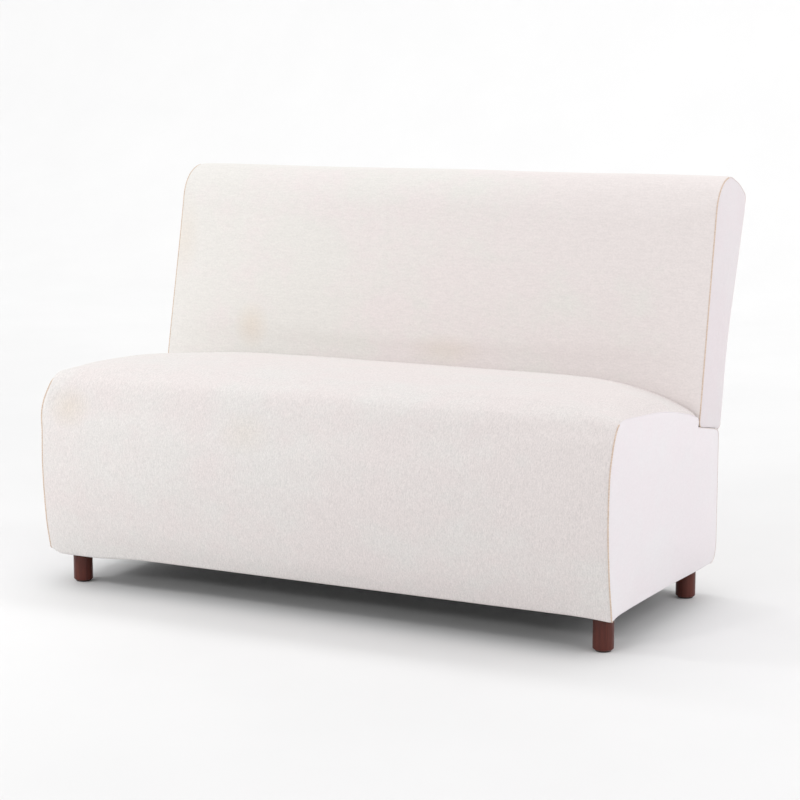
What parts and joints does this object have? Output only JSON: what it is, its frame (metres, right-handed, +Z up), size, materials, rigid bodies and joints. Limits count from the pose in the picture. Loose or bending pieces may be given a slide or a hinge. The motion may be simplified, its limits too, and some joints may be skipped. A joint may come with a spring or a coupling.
{
  "type": "loveseat",
  "caption": "Armless upholstered loveseat: crowned tight seat and a leaning back with a rounded top edge, on round wooden legs; the back unit lifts off its base on hidden posts.",
  "frame": {"origin": "centre of the bounding box on the floor, under the glides", "axes": "+X to the right of someone facing the seat, along the width; -Y the way the seat faces; +Z up"},
  "size_m": [1.26, 0.7362, 0.8537],
  "materials": {
    "cover_fabric": "matte",
    "lining_cloth": "matte",
    "foam": "matte",
    "batting": "matte",
    "leg_wood": "satin",
    "glide_plastic": "matte",
    "hardwood": "matte",
    "plywood": "matte",
    "hardboard": "matte",
    "webbing": "matte",
    "spring_steel": "satin",
    "zinc_steel": "satin"
  },
  "bodies": {
    "base": {"front_rail": "plywood", "rear_rail": "plywood", "inner_rail": "plywood", "spring_batten": "hardwood", "end_panel_left": "plywood", "end_panel_right": "plywood", "stretcher_left": "plywood", "stretcher_right": "plywood", "corner_blocks": "hardwood", "frame_screws": "zinc_steel", "ledge_board": "plywood", "socket_block_left": "hardwood", "socket_block_right": "hardwood", "post_socket_left": "zinc_steel", "post_socket_right": "zinc_steel", "flange_screws": "zinc_steel", "leg_front_left": "leg_wood", "leg_front_right": "leg_wood", "leg_rear_left": "leg_wood", "leg_rear_right": "leg_wood", "leg_bolts": "zinc_steel", "t_nuts": "zinc_steel", "leg_glides": "glide_plastic", "seat_springs": "spring_steel", "spring_clips": "spring_steel", "tie_wires": "spring_steel", "seat_deck": "lining_cloth", "seat_foam": "foam", "front_pad": "foam", "side_pad_left": "batting", "side_pad_right": "batting", "seat_cover": "cover_fabric", "side_cover_left": "cover_fabric", "side_cover_right": "cover_fabric", "rear_cover": "cover_fabric", "ledge_cover": "cover_fabric", "dust_cover": "lining_cloth"},
    "backrest": {"back_stile_left": "plywood", "back_stile_right": "plywood", "back_lower_rail": "plywood", "back_mid_rail": "plywood", "back_upper_rail": "plywood", "back_cap_board": "plywood", "back_rear_board": "hardboard", "back_webbing": "webbing", "back_foam": "foam", "back_side_pad_left": "batting", "back_side_pad_right": "batting", "back_cover": "cover_fabric", "back_side_cover_left": "cover_fabric", "back_side_cover_right": "cover_fabric", "back_rear_cover": "cover_fabric", "back_bottom_cover": "lining_cloth", "back_post_left": "zinc_steel", "back_post_right": "zinc_steel", "post_bolts": "zinc_steel", "post_nuts": "zinc_steel"}
  },
  "joints": [
    {"name": "backrest_lift", "type": "slide", "parent": "base", "child": "backrest", "axis": [0, 0.1771, 0.9842], "range_m": [0, 0.2]}
  ]
}
